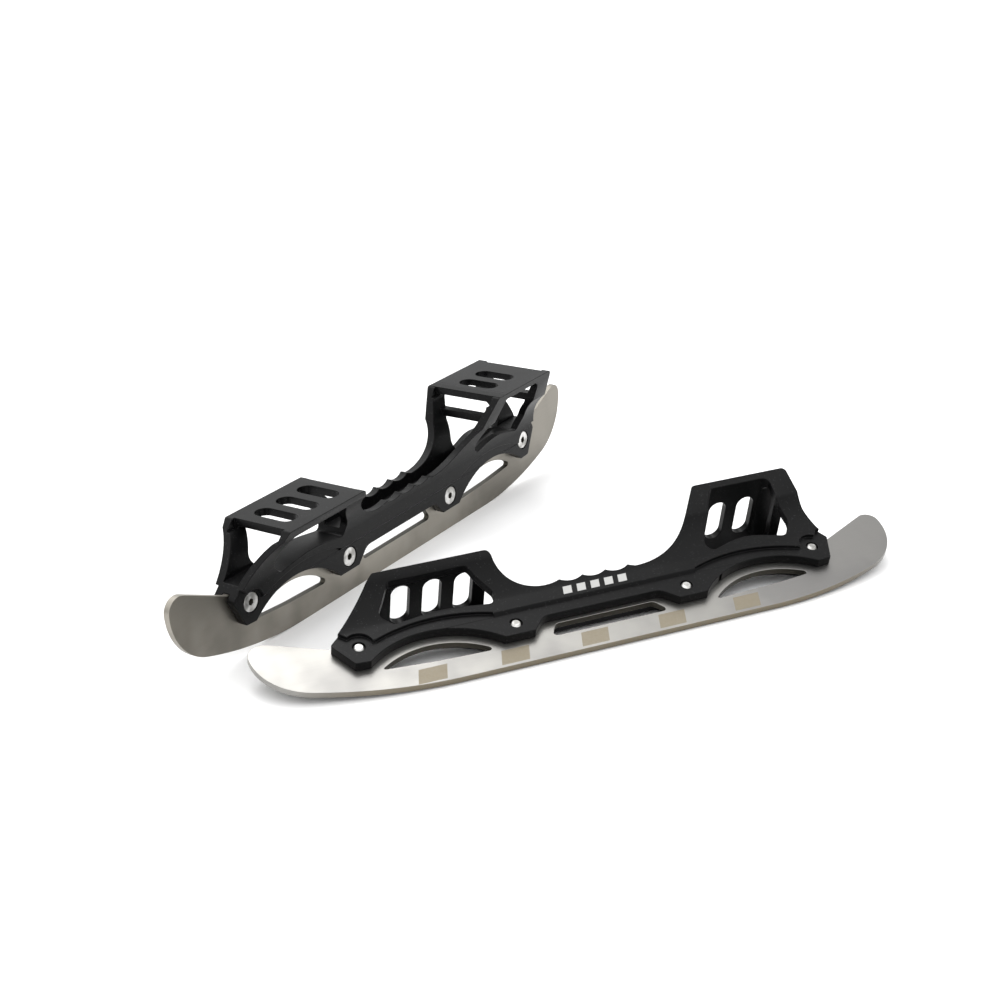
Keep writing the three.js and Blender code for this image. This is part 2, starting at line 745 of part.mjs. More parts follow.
// A countersunk screw along y, its head at +y and its tip level with the far clamp face.
function screwSolid() {
  const face = clampHalf - headRecess;
  const shank = threadDiameter / 2;
  const rim = headDiameter / 2;
  const profile = [
    new THREE.Vector2(0, -clampHalf),
    new THREE.Vector2(shank - tipChamfer, -clampHalf),
    new THREE.Vector2(shank, -clampHalf + tipChamfer),
    new THREE.Vector2(shank, face - headHeight),
    new THREE.Vector2(rim, face - headRimHeight),
    new THREE.Vector2(rim, face),
    new THREE.Vector2(0, face),
  ];
  const body = toSolid(new THREE.LatheGeometry(profile, roundSides));
  const hexRadius = hexAcrossFlats / Math.sqrt(3);
  const hex = new THREE.CylinderGeometry(hexRadius, hexRadius, 2 * hexDepth, 6);
  hex.translate(0, face, 0);
  return body.subtract(toSolid(hex));
}

// ---------------------------------------------------------------- materials

function anodisedBlack() {
  return new THREE.MeshStandardMaterial({ color: 0x1d1e20, roughness: 0.48, metalness: 0.35 });
}

function brushedSteel() {
  return new THREE.MeshStandardMaterial({ color: 0xa8a49c, roughness: 0.34, metalness: 1 });
}

function plainSteel() {
  return new THREE.MeshStandardMaterial({ color: 0xcfcdc6, roughness: 0.3, metalness: 1 });
}

// ---------------------------------------------------------------- assembly

function named(name, solid, material) {
  const mesh = new THREE.Mesh(toGeometry(solid), material);
  mesh.name = name;
  return mesh;
}

// One chassis. Its screw heads face the skater's other foot: headSide is +1 where they are on
// the chassis's right cheek and -1 where they are on its left.
function chassis(side, headSide) {
  const group = new THREE.Group();
  group.add(named(`${side}_frame`, frameSolid(headSide), anodisedBlack()));
  group.add(named(`${side}_blade`, bladeSolid(), brushedSteel()));
  screws.forEach(({ x, z }, i) => {
    const screw = named(`${side}_screw_${i + 1}`, screwSolid(), plainSteel());
    screw.position.set(x, 0, z);
    screw.rotation.z = headSide > 0 ? 0 : Math.PI;
    group.add(screw);
  });
  return group;
}

// A chassis laid on its right side rests on one low point, the blade's edge or an inner lug, and
// on one high point, an edge of a deck or the kink in the wall.
const lowRests = [[bladeHalf, -edgeDrop], [clampHalf, innerLugZ]];
const highRests = [rearDeckZ, frontDeckZ, kinkZ].map((z) => [bandAt(z), z]);

// Lean from upright at which it touches both.
function layDownAngle() {
  const slopes = lowRests.map(([y, z]) => Math.max(...highRests.map(([a, b]) => (a - y) / (b - z))));
  return Math.PI / 2 - Math.atan(Math.min(...slopes));
}

// Height of its origin at that lean.
function layDownHeight(lay) {
  return Math.max(...[...lowRests, ...highRests].map(([y, z]) => y * Math.sin(lay) - z * Math.cos(lay)));
}

const right = chassis('right', -1);
right.position.z = edgeDrop;
right.rotation.z = rightYaw;

const left = chassis('left', 1);
const lay = layDownAngle();
left.position.set(leftScrewX, leftScrewY, layDownHeight(lay));
left.rotation.order = 'ZYX';
left.rotation.set(-lay, 0, leftYaw);

const pair = new THREE.Group();
pair.add(right, left);
pair.updateMatrixWorld(true);
const bounds = new THREE.Box3().setFromObject(pair, true);
const centre = bounds.getCenter(new THREE.Vector3());
pair.position.set(-centre.x, -centre.y, -bounds.min.z);

export default pair;
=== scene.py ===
import math

import bpy
from mathutils import Euler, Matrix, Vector


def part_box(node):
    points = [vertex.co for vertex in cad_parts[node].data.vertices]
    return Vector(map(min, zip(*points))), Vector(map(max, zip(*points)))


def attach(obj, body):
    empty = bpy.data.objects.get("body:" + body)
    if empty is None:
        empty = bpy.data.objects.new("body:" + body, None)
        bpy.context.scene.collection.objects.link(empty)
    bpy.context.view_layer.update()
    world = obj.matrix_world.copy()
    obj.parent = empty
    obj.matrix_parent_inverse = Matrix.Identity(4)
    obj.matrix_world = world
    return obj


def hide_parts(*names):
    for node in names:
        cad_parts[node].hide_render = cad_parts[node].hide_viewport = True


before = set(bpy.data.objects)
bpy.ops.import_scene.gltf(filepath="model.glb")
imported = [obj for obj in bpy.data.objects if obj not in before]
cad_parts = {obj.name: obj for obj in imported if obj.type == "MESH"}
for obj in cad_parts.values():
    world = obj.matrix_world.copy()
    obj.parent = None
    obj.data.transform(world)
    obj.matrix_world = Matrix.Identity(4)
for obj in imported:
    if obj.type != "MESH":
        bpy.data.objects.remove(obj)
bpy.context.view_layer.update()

# ------------------------------------------------------------------ blades
# Each blade is laser cut from 3 mm hardened stainless strip, ground on its running edge and
# brushed along its faces. A long arched window under each screw pair and a straight one between
# them take weight out. The outer face carries a row of plain bars etched in tan.

MM = 0.001
SCREW_SPAN = 224.0
SCREWS = [(0.0, 0.0), (70.0, -6.6), (154.0, -6.6), (224.0, 0.0)]
SHANK_HOLE = 2.8
TURN = {
    "right": Euler((0.0, 0.0, math.radians(56.3))),
    "left": Euler((-math.radians(73.3), 0.0, math.radians(21.4))),
}
OUTER_SIDE = {"right": 1, "left": -1}
SPOT = {}

BLADE_HALF = 1.5
EDGE_Z = -26.8
BROW = math.atan2(1.0, 0.45)


def arc(x, z, radius, start, end, step=4.0):
    """Points of an arc between two angles, in degrees, whichever way round they are given."""
    count = max(2, math.ceil(abs(end - start) / step))
    angles = [math.radians(start + (end - start) * i / count) for i in range(count + 1)]
    return [(x + radius * math.cos(a), z + radius * math.sin(a)) for a in angles]


def rounded(corners, step=12.0):
    """A closed outline through corners (x, z, radius), each turned by its own radius."""
    points = []
    for i, (x, z, radius) in enumerate(corners):
        here = Vector((x, z))
        back = Vector(corners[i - 1][:2]) - here
        ahead = Vector(corners[(i + 1) % len(corners)][:2]) - here
        if not radius:
            points.append((x, z))
            continue
        half = back.angle(ahead) / 2
        reach = min(radius / math.tan(half), back.length / 2, ahead.length / 2)
        centre = here + (back.normalized() + ahead.normalized()).normalized() * reach / math.cos(half)
        first = here + back.normalized() * reach - centre
        last = here + ahead.normalized() * reach - centre
        start = math.degrees(math.atan2(first.y, first.x))
        sweep = math.degrees(math.atan2(first.x * last.y - first.y * last.x, first.dot(last)))
        points += arc(centre.x, centre.y, first.length, start, start + sweep, step)
    return points


def flipped(outline):
    """The same outline at the heel end."""
    return [(SCREW_SPAN - x, z) for x, z in outline]


def select_only(piece):
    bpy.ops.object.select_all(action="DESELECT")
    piece.select_set(True)
    bpy.context.view_layer.objects.active = piece


def draw(outline, place, pull):
    """Draws a closed outline one point at a time, fills it and pulls it out into a solid."""
    points = [Vector(place(a, b)) * MM for a, b in outline]
    bpy.ops.object.select_all(action="DESELECT")
    bpy.ops.mesh.primitive_plane_add(size=MM)
    solid = bpy.context.object
    bpy.ops.object.mode_set(mode="EDIT")
    bpy.ops.mesh.select_all(action="SELECT")
    bpy.ops.mesh.merge(type="CENTER")
    bpy.ops.transform.translate(value=points[0])
    for here, there in zip(points, points[1:]):
        bpy.ops.mesh.extrude_vertices_move(TRANSFORM_OT_translate={"value": there - here})
    bpy.ops.mesh.select_all(action="SELECT")
    bpy.ops.mesh.edge_face_add()
    bpy.ops.mesh.extrude_region_move(TRANSFORM_OT_translate={"value": Vector(pull) * MM})
    bpy.ops.mesh.select_all(action="SELECT")
    bpy.ops.mesh.normals_make_consistent(inside=False)
    bpy.ops.object.mode_set(mode="OBJECT")
    return solid


def across(outline, low, high):
    """A side outline in x and z, pulled across the chassis from one y to another."""
    return draw(outline, lambda x, z: (x, low, z), (0, high - low, 0))


def pin(x, z, low, high, radius, top_radius=None, sides=48):
    """A round cutter along y."""
    bpy.ops.object.select_all(action="DESELECT")
    bpy.ops.mesh.primitive_cone_add(
        vertices=sides,
        radius1=radius * MM,
        radius2=(top_radius or radius) * MM,
        depth=(high - low) * MM,
        location=(0, 0, 0),
        rotation=(-math.pi / 2, 0, 0),
    )
    cutter = bpy.context.object
    cutter.location = Vector((x, (low + high) / 2, z)) * MM
    bpy.ops.object.transform_apply(location=True, rotation=True, scale=True)
    return cutter


def machine(body, tool, how="DIFFERENCE"):
    """Cuts a body with a tool, joins them or keeps what they share, and drops the tool."""
    select_only(body)
    step = body.modifiers.new("machine", "BOOLEAN")
    step.object = tool
    step.operation = how
    step.solver = "EXACT"
    bpy.ops.object.modifier_apply(modifier=step.name)
    bpy.data.objects.remove(tool)


def break_edges(piece, width, segments=2, sharper_than=30.0):
    """Cleans a machined piece and breaks its sharp edges with a small round."""
    select_only(piece)
    bpy.ops.object.mode_set(mode="EDIT")
    bpy.ops.mesh.select_all(action="SELECT")
    bpy.ops.mesh.remove_doubles(threshold=0.004 * MM)
    bpy.ops.mesh.dissolve_limited(angle_limit=math.radians(0.3))
    bpy.ops.object.mode_set(mode="OBJECT")
    edge = piece.modifiers.new("edges", "BEVEL")
    edge.width = width * MM
    edge.segments = segments
    edge.limit_method = "ANGLE"
    edge.angle_limit = math.radians(sharper_than)
    edge.use_clamp_overlap = False
    edge.harden_normals = True
    bpy.ops.object.shade_smooth()
    bpy.ops.object.modifier_apply(modifier=edge.name)


def copy_of(piece, name):
    """A second piece from the same drawing, with a mesh of its own."""
    twin = piece.copy()
    twin.data = piece.data.copy()
    twin.name = twin.data.name = name
    bpy.context.collection.objects.link(twin)
    return twin


def blade_end(flat_x, centre_x, centre_z, radius, tip_radius):
    """From the straight running edge round the toe to the line that climbs into the frame."""
    run, rise = flat_x - centre_x, centre_z - EDGE_Z
    rocker = (run ** 2 + rise ** 2 - radius ** 2) / (2 * (rise - radius))
    meet = math.degrees(math.atan2(centre_z - EDGE_Z - rocker, -run))
    tip_x = centre_x - (radius - tip_radius)
    points = arc(flat_x, EDGE_Z + rocker, rocker, -90, meet, 1.0)
    points += arc(centre_x, centre_z, radius, meet, -180, 3.0)[1:]
    points += arc(tip_x, centre_z, tip_radius, 180, math.degrees(BROW), 8.0)[1:]
    return points


def brow_foot(end, top_z):
    """Where the climbing line of an end, carried on, comes down to a level."""
    x, z = end[-1]
    return (x + (z - top_z) / 0.45, top_z)


toe = blade_end(40.0, -16.4, 11.5, 29.1, 6.8)
heel = blade_end(34.0, -14.8, 12.6, 30.6, 5.6)
tongue = [brow_foot(toe, 6.2), (10.0, 6.2), (16.0, 1.0)]
heel_tongue = [brow_foot(heel, 6.2), (10.0, 6.2), (16.0, 1.0)]
blade = across(toe + tongue + (flipped(heel + heel_tongue))[::-1], -BLADE_HALF, BLADE_HALF)

ARCH = Vector((30.5, -43.8))
ARCH_WINDOW_RADIUS = 39.7
SILL_OUTER = Vector((6.9, -12.2))
SILL_MIDDLE = Vector((29.0, -14.1))
SILL_INNER = Vector((57.4, -15.2))
POINTED_TIP = 0.6
ROUND_TIP = 1.3


def tip(foot, radius):
    """Centre of a small round that sits on the sill, inside the arc, and its two contact angles."""
    out = (foot - SILL_MIDDLE).normalized()
    up = Vector((-out.y, out.x)) * math.copysign(1, out.x)
    start = SILL_MIDDLE + up * radius - ARCH
    half = start.dot(out)
    root = math.sqrt(half ** 2 - start.length_squared + (ARCH_WINDOW_RADIUS - radius) ** 2)
    from_arch = start + out * (root - half)
    angles = [math.degrees(math.atan2(v.y, v.x)) for v in (from_arch, -up)]
    return ARCH + from_arch, angles


def arched_window(outer_radius, inner_radius):
    outer, (outer_angle, outer_down) = tip(SILL_OUTER, outer_radius)
    inner, (inner_angle, inner_down) = tip(SILL_INNER, inner_radius)
    points = arc(*ARCH, ARCH_WINDOW_RADIUS, inner_angle, outer_angle, 3.0)
    points += arc(*outer, outer_radius, outer_angle, outer_down + 360, 15.0)[1:]
    rest = arc(*inner, inner_radius, inner_down, inner_angle, 15.0)[:-1]
    corners = [(x, z, 0) for x, z in points] + [(*SILL_MIDDLE, 120.0)] + [(x, z, 0) for x, z in rest]
    return rounded(corners)


front_window_cut = arched_window(POINTED_TIP, ROUND_TIP)
rear_window_cut = flipped(arched_window(ROUND_TIP, POINTED_TIP))
middle_window = rounded([
    (84.2, -15.2, 1.6),
    (141.6, -15.2, 1.6),
    (137.0, -8.0, 3.0),
    (88.8, -8.0, 3.0),
])
for window in (front_window_cut, rear_window_cut, middle_window):
    machine(blade, across(window, -9, 9))
for x, z in SCREWS:
    machine(blade, pin(x, z, -9, 9, SHANK_HOLE))
break_edges(blade, 0.18, 2)


def box_centre(piece):
    """Centre of a piece's own box, in the row's frame."""
    places = [piece.matrix_world @ v.co for v in piece.data.vertices]
    low = Vector(min(p[i] for p in places) for i in range(3))
    high = Vector(max(p[i] for p in places) for i in range(3))
    return (low + high) / 2


def lay(piece, side):
    """Turns a piece and puts it where its chassis lies."""
    piece.rotation_euler = TURN[side]
    piece.location = SPOT[side]
    select_only(piece)
    bpy.ops.object.transform_apply(location=True, rotation=True, scale=True)


class Tone:
    """A shader socket that takes part in sums like a number."""

    def __init__(self, finish, socket):
        self.finish = finish
        self.socket = socket

    def _sum(self, operation, first, second):
        return self.finish.node("Math", {"operation": operation}, {0: first, 1: second})

    def __add__(self, other):
        return self._sum("ADD", self, other)

    def __radd__(self, other):
        return self._sum("ADD", other, self)

    def __sub__(self, other):
        return self._sum("SUBTRACT", self, other)

    def __rsub__(self, other):
        return self._sum("SUBTRACT", other, self)

    def __mul__(self, other):
        return self._sum("MULTIPLY", self, other)

    def __rmul__(self, other):
        return self._sum("MULTIPLY", other, self)

    def __truediv__(self, other):
        return self._sum("DIVIDE", self, other)

    def __lt__(self, other):
        return self._sum("LESS_THAN", self, other)

    def __gt__(self, other):
        return self._sum("GREATER_THAN", self, other)


class Finish:
    """A material built up one node at a time."""

    def __init__(self, name):
        self.material = bpy.data.materials.new(name)
        self.material.use_nodes = True
        self.tree = self.material.node_tree
        self.surface = self.tree.nodes["Principled BSDF"]

    def feed(self, socket, value):
        if isinstance(value, Tone):
            self.tree.links.new(value.socket, socket)
        else:
            socket.default_value = value

    def node(self, kind, settings=None, inputs=None, output=0):
        made = self.tree.nodes.new("ShaderNode" + kind)
        for key, value in (settings or {}).items():
            if key == "stops":
                ramp = made.color_ramp
                while len(ramp.elements) < len(value):
                    ramp.elements.new(0.5)
                for element, (position, colour) in zip(ramp.elements, value):
                    element.position = position
                    element.color = (*colour, 1)
            else:
                setattr(made, key, value)
        for key, value in (inputs or {}).items():
            self.feed(made.inputs[key], value)
        return Tone(self, made.outputs[output])

    def mix(self, factor, first, second):
        """One colour turning into another."""
        colours = {"Factor": factor, 6: first, 7: second}
        return self.node("Mix", {"data_type": "RGBA"}, colours, 2)

    def along(self, side):
        """Places on a chassis: x from toe to heel, y to its right, z up from its front screw."""
        here = self.node("TexCoord", {}, {}, 3)
        turned = self.node(
            "VectorRotate",
            {"rotation_type": "EULER_XYZ", "invert": True},
            {"Vector": here, "Center": SPOT[side], "Rotation": TURN[side]},
        )
        return self.node("VectorMath", {"operation": "SUBTRACT"}, {0: turned, 1: SPOT[side]})

    def split(self, place):
        return [self.node("SeparateXYZ", {}, {0: place}, i) for i in range(3)]

    def stretched(self, place, scale):
        return self.node("VectorMath", {"operation": "MULTIPLY"}, {0: place, 1: scale})

    def noise(self, place, scale, detail=3.0, roughness=0.5):
        inputs = {"Vector": place, "Scale": scale, "Detail": detail, "Roughness": roughness}
        return self.node("TexNoise", {}, inputs, 0)

    def ranged(self, value, low, high):
        """0 at the first value and 1 at the second, with a soft step between them."""
        settings = {"interpolation_type": "SMOOTHSTEP"}
        return self.node("MapRange", settings, {"Value": value, "From Min": low, "From Max": high})

    def between(self, value, low, high):
        """1 where a value lies between two others, and 0 elsewhere."""
        return (value > low) * (value < high)

    def bump(self, height, strength, distance):
        inputs = {"Height": height, "Strength": strength, "Distance": distance * MM}
        self.feed(self.surface.inputs["Normal"], self.node("Bump", {}, inputs))

    def set(self, **values):
        for key, value in values.items():
            self.feed(self.surface.inputs[key.replace("_", " ").title()], value)


BAR_FIRST = 27.0
BAR_COUNT = 5
BAR_PITCH = 38.0
BAR_WIDTH = 13.0
BAR_LOW = -25.4
BAR_HIGH = -17.0
BAR_SLANT = 0.35
# Painted light: one steel, toned per side to how each blade is lit. The standing right blade is darker and warmer,
# the lying left one lighter.
STEEL_AS_LIT = {"right": (0.33, 0.31, 0.272, 1), "left": (0.35, 0.342, 0.322, 1)}
STEEL_SHADE_AS_LIT = {"right": (0.145, 0.136, 0.118, 1), "left": (0.21, 0.206, 0.202, 1)}
ETCHED = (0.22, 0.19, 0.135, 1)
# The running edge's cut faces: the ground tan on the left blade, a painted highlight on the right one.
EDGE_TAN_AND_HIGHLIGHT = {"right": (0.4, 0.385, 0.35, 1), "left": (0.2, 0.175, 0.13, 1)}
# Window walls: the laser cut's dark oxide, darkened further with painted shade.
WINDOW_WALL_OXIDE_AND_SHADE = (0.06, 0.056, 0.046, 1)


def blade_finish(side):
    """Brushed stainless: fine lines along the blade, cloudy polish and the etched bars, with painted light in each
    side's tone, in shade towards the heel, on the right blade's edge and on the window walls.
    """
    steel = Finish(f"brushed_steel_{side}")
    place = steel.along(side)
    x, y, z = steel.split(place)
    lines = steel.noise(steel.stretched(place, (40.0, 400.0, 5200.0)), 1.0, 4.0, 0.6)
    cloud = steel.noise(place, 26.0, 3.0, 0.55)
    fine = steel.noise(place, 900.0, 2.0, 0.6)
    slanted = x / MM - z / MM * BAR_SLANT - BAR_FIRST
    step = steel.node("Math", {"operation": "MODULO"}, {0: slanted + 50 * BAR_PITCH, 1: BAR_PITCH})
    bars = (step < BAR_WIDTH) * steel.between(slanted, 0.0, BAR_COUNT * BAR_PITCH)
    bars = bars * steel.between(z, BAR_LOW * MM, BAR_HIGH * MM)
    outer = y * OUTER_SIDE[side]
    bars = bars * (outer > (BLADE_HALF - 0.05) * MM)
    inside = steel.between(y, -(BLADE_HALF - 0.1) * MM, (BLADE_HALF - 0.1) * MM)
    # Painted shade: the steel darkens towards the heel, on top of the random cloudy mottle and the brush lines.
    painted_heel_shade = steel.ranged(x, 140.0 * MM, 235.0 * MM)
    mottle_and_heel_shade = steel.ranged(cloud, 0.38, 0.68) * (0.6 - painted_heel_shade * 0.3) + painted_heel_shade * 0.5 + lines * 0.15
    colour = steel.mix(mottle_and_heel_shade, STEEL_AS_LIT[side], STEEL_SHADE_AS_LIT[side])
    # Cut faces towards the running edge: tan on the left blade, painted highlight on the right.
    colour = steel.mix(inside * steel.ranged(z, (EDGE_Z + 16.0) * MM, EDGE_Z * MM), colour, EDGE_TAN_AND_HIGHLIGHT[side])
    # Cut faces of the windows and holes: dark oxide plus painted shade.
    walls_oxide_and_shade = inside * steel.between(x, 6.0 * MM, (SCREW_SPAN - 6.0) * MM) * (z > -17.0 * MM)
    colour = steel.mix(walls_oxide_and_shade, colour, WINDOW_WALL_OXIDE_AND_SHADE)
    colour = steel.mix(bars * (0.72 + fine * 0.3), colour, ETCHED)
    steel.set(base_color=colour, metallic=1.0 - bars * 0.25)
    steel.set(roughness=0.25 + cloud * 0.1 + lines * 0.1 + bars * 0.2 + inside * 0.08)
    steel.bump(lines * 0.7 + fine * 0.3 - bars * 0.6, 0.12, 0.05)
    return steel.material


for side in ("right", "left"):
    piece = copy_of(blade, f"{side}_blade_strip")
    piece.rotation_euler = TURN[side]
    select_only(piece)
    bpy.ops.object.transform_apply(rotation=True)
    low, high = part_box(f"{side}_blade")
    SPOT[side] = (Vector(low) + Vector(high)) / 2 - box_centre(piece)
    piece.location = SPOT[side]
    bpy.ops.object.transform_apply(location=True)
    piece.data.materials.append(blade_finish(side))
    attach(piece, "root")
    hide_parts(f"{side}_blade")
bpy.data.objects.remove(blade)

# ------------------------------------------------------------------ frames
# Each frame is one length of hollow aluminium extrusion, milled from the sides and from above:
# the gap between the decks with its scallops, the windows, the arches and the clamp faces. It is
# bead blasted and anodised satin black. The blade slides into a slot between its two cheeks.

CLAMP_HALF = 6.0
SLOT_HALF = 1.8
KINK = (17.8, 26.3)
BAND_FLARE = 0.31
WALL = 4.1
BAND_WALL = 3.8
FRONT_DECK = (15.4, 70.1, 29.8)
REAR_DECK = (178.4, 229.0, 40.5)
DECK_THICK = 3.8
DECK_CORNER = 2.5
TAIL_RECESS = 3.2
WEB_TOP = 9.6
FAR = 120.0


def band_at(z):
    return KINK[0] + BAND_FLARE * (z - KINK[1])


def both_sides(right):
    """A closed outline in y and z from the corners (y, z, radius) of its right half."""
    return rounded(right + [(-y, z, radius) for y, z, radius in reversed(right)])


def along(outline, low, high):
    """A cross-section in y and z, pulled along the chassis."""
    return draw(outline, lambda y, z: (low, y, z), (high - low, 0, 0))


def upright(outline, low, high):
    """A plan outline in x and y, pulled straight up."""
    return draw(outline, lambda x, y: (x, y, low), (0, 0, high - low))


def rectangle(x0, x1, z0, z1):
    return [(x0, z0), (x1, z0), (x1, z1), (x0, z1)]


def hollow_arc(foot, top, radius, count):
    """The wall's own curve, hollow on the outside, from its foot up to the kink."""
    chord = Vector(top) - Vector(foot)
    away = Vector((chord.y, -chord.x)).normalized()
    centre = Vector(foot) + chord / 2 + away * math.sqrt(radius ** 2 - (chord.length / 2) ** 2)
    ends = [math.degrees(math.atan2(p[1] - centre.y, p[0] - centre.x)) % 360 for p in (foot, top)]
    return arc(centre.x, centre.y, radius, ends[0], ends[1], abs(ends[1] - ends[0]) / count)


wall_curve = hollow_arc((7.8, 8.0), KINK, 30.7, 14)
outer_half = (
    [(CLAMP_HALF, -FAR, 0), (CLAMP_HALF, -0.5, 0), (7.6, 0.7, 0)]
    + [(y, z, 0) for y, z in wall_curve]
    + [(band_at(REAR_DECK[2]), REAR_DECK[2], 0)]
)
inner_curve = [(y - WALL, z, 0) for y, z in wall_curve if WEB_TOP < z < 25.0]


def chamber(deck_z, side_wall):
    roof = deck_z - DECK_THICK
    first = (inner_curve[0][0], WEB_TOP, 0)
    return both_sides([first] + inner_curve + [(band_at(roof) - side_wall, roof, 2.0)])


side_view = rounded([
    (-4.5, -9.6, 1.2),
    (0.0, -9.9, 0),
    (56.0, -13.5, 0),
    (168.0, -13.5, 0),
    (224.0, -9.9, 0),
    (228.5, -9.6, 1.2),
    (234.5, 4.0, 1.6),
    (232.0, 9.5, 1.5),
    (229.0, 20.0, 8.0),
    (REAR_DECK[1], REAR_DECK[2], DECK_CORNER),
    (112.0, REAR_DECK[2], 0),
    (112.0, FRONT_DECK[2], 0),
    (FRONT_DECK[0], FRONT_DECK[2], 1.5),
    (-11.5, 4.0, 1.5),
])

# The gap between the decks is one milling path: down an arc behind the front deck, along four
# scallops, and up a long arc to the rear deck.
INSTEP = (91.1, 31.5, 21.0)
RISE = (136.03, 51.1, 40.7)
RISE_END = 55.4
CREST = 11.8
SCALLOPS = 3
SCALLOP_DEPTH = 1.7

crest_from = INSTEP[0] + math.sqrt(INSTEP[2] ** 2 - (INSTEP[1] - CREST) ** 2)
crest_to = RISE[0] - math.sqrt(RISE[2] ** 2 - (RISE[1] - CREST) ** 2) / 3
pitch = (crest_to - crest_from) / SCALLOPS
scallop_radius = ((pitch / 2) ** 2 + SCALLOP_DEPTH ** 2) / (2 * SCALLOP_DEPTH)
opening = math.degrees(math.asin(pitch / 2 / scallop_radius))
crest_angle = math.degrees(math.atan2(CREST - INSTEP[1], crest_from - INSTEP[0]))
path = arc(*INSTEP, -161.4, crest_angle, 4.0)
for i in range(SCALLOPS):
    middle = crest_from + (i + 0.5) * pitch
    path += arc(middle, CREST - SCALLOP_DEPTH + scallop_radius, scallop_radius, -90 - opening, -90 + opening, 8)[1:]
path += arc(*RISE, -90, -90 + RISE_END, 3.0)
gap = rounded(
    [(FRONT_DECK[1] - 8, FAR, 0), (FRONT_DECK[1] - 8, FRONT_DECK[2], 0), (FRONT_DECK[1], FRONT_DECK[2], DECK_CORNER)]
    + [(x, z, 0) for x, z in path]
    + [(REAR_DECK[0], REAR_DECK[2], DECK_CORNER), (REAR_DECK[0] + 8, REAR_DECK[2], 0), (REAR_DECK[0] + 8, FAR, 0)],
    10.0,
)

arch = arc(30.5, -43.8, 44.0, 0, 180, 3.0)
middle_edge = rounded([(69.7, -20.8, 0), (83.5, -6.2, 6), (140.5, -6.2, 6), (154.3, -20.8, 0)])
front_roof = FRONT_DECK[2] - DECK_THICK
rear_roof = REAR_DECK[2] - DECK_THICK
front_window = rounded([
    (21.0, front_roof - 1.0, 2.5),
    (12.6, 13.2, 4.0),
    (18.8, 6.8, 3.0),
    (41.0, 10.2, 70.0),
    (64.2, 6.6, 2.5),
    (67.0, 12.6, 4.0),
    (58.0, front_roof - 1.0, 3.0),
], 8.0)
rear_window = rounded([
    (186.6, rear_roof + 0.3, 3.0),
    (173.0, 13.8, 4.0),
    (175.8, 9.2, 3.0),
    (193.8, 14.2, 70.0),
    (214.4, 9.0, 3.0),
    (219.5, 15.8, 4.0),
    (216.8, 25.5, 14.0),
    (218.0, rear_roof + 0.3, 3.5),
], 8.0)

BOSS = 6.4
clamp_face = (
    [(62.0, -FAR), (-30.0, -FAR), (-30.0, 8.4), (-BOSS, 8.4)]
    + arc(0, 0, BOSS, 125, 0, 6.0)
    + arc(36.0, -69.0, 75.0, 113.25, 69.7, 2.5)
)


def cross_bar(x0, x1):
    bar = along(both_sides(outer_half), x0, x1)
    machine(bar, across(rectangle(x0 - 5, x1 + 5, 26.0, 29.8), -60, 60), "INTERSECT")
    return bar


SLOT_WIDTH = 9.0
SLOT_LENGTH = 22.0


def mount_slot(x, deck_z):
    straight = (SLOT_LENGTH - SLOT_WIDTH) / 2
    outline = arc(x, straight, SLOT_WIDTH / 2, 0, 180, 9.0) + arc(x, -straight, SLOT_WIDTH / 2, 180, 360, 9.0)
    return upright(outline, deck_z - DECK_THICK - 1, deck_z + 1)


def mill_frame(head_side):
    """One frame, from blank to drilled. Its screw heads sink in on head_side."""
    body = along(both_sides(outer_half), -30, 254)
    machine(body, across(side_view, -60, 60), "INTERSECT")
    for outline in (gap, arch, flipped(arch), middle_edge):
        machine(body, across(outline, -60, 60))
    machine(body, along(chamber(FRONT_DECK[2], WALL), -30, 112))
    machine(body, along(chamber(REAR_DECK[2], BAND_WALL), 112, 254))
    channel = arc(79.5, 0, 4.4, 90, 270, 9.0) + arc(169.0, 0, 4.4, -90, 90, 9.0)
    machine(body, upright(channel, 5.0, FAR))
    machine(body, cross_bar(177.4, 182.9), "UNION")
    machine(body, cross_bar(215.5, 222.5), "UNION")
    for outline in (front_window, rear_window):
        machine(body, across(outline, -60, 60))
    for outline in (clamp_face, flipped(clamp_face)):
        machine(body, across(outline, CLAMP_HALF, 60))
        machine(body, across(outline, -60, -CLAMP_HALF))
    for x in (28.0, 43.0, 58.0):
        machine(body, mount_slot(x, FRONT_DECK[2]))
    for x in (193.0, 208.0):
        machine(body, mount_slot(x, REAR_DECK[2]))
    ends = ((FRONT_DECK, FRONT_DECK[2] + 1, 1.2), (REAR_DECK, FAR, TAIL_RECESS))
    for (start, end, top), ceiling, tail in ends:
        half = band_at(top) - 4.5
        low = top - DECK_THICK - 1
        machine(body, across(rectangle(start - 8.8, start + 1.2, low, FAR), -half, half))
        machine(body, across(rectangle(end - tail, end + 8.8, low, ceiling), -half, half))
    slot = [
        (-34.5, -FAR), (258.5, -FAR), (258.5, 6.5), (213.7, 6.5), (207.7, 1.3),
        (16.3, 1.3), (10.3, 6.5), (-34.5, 6.5),
    ]
    machine(body, across(slot, -SLOT_HALF, SLOT_HALF))
    brow_x, brow_z = brow_foot(toe, 6.2)
    mouth = [(brow_x + 0.6, brow_z), (-34.5, brow_z), (-34.5, brow_z + 0.45 * (brow_x + 34.5) + 0.3), (brow_x + 0.6, brow_z + 0.6)]
    for outline in (mouth, flipped(mouth)):
        machine(body, across(outline, -SLOT_HALF, SLOT_HALF))
    for x, z in SCREWS:
        machine(body, pin(x, z, -60, 60, SHANK_HOLE))
        if head_side > 0:
            machine(body, pin(x, z, 2.55, 5.05, SHANK_HOLE, 4.9))
            machine(body, pin(x, z, 5.05, 60, 4.9))
        else:
            machine(body, pin(x, z, -5.05, -2.55, 4.9, SHANK_HOLE))
            machine(body, pin(x, z, -60, -5.05, 4.9))
    break_edges(body, 0.3, 2)
    return body


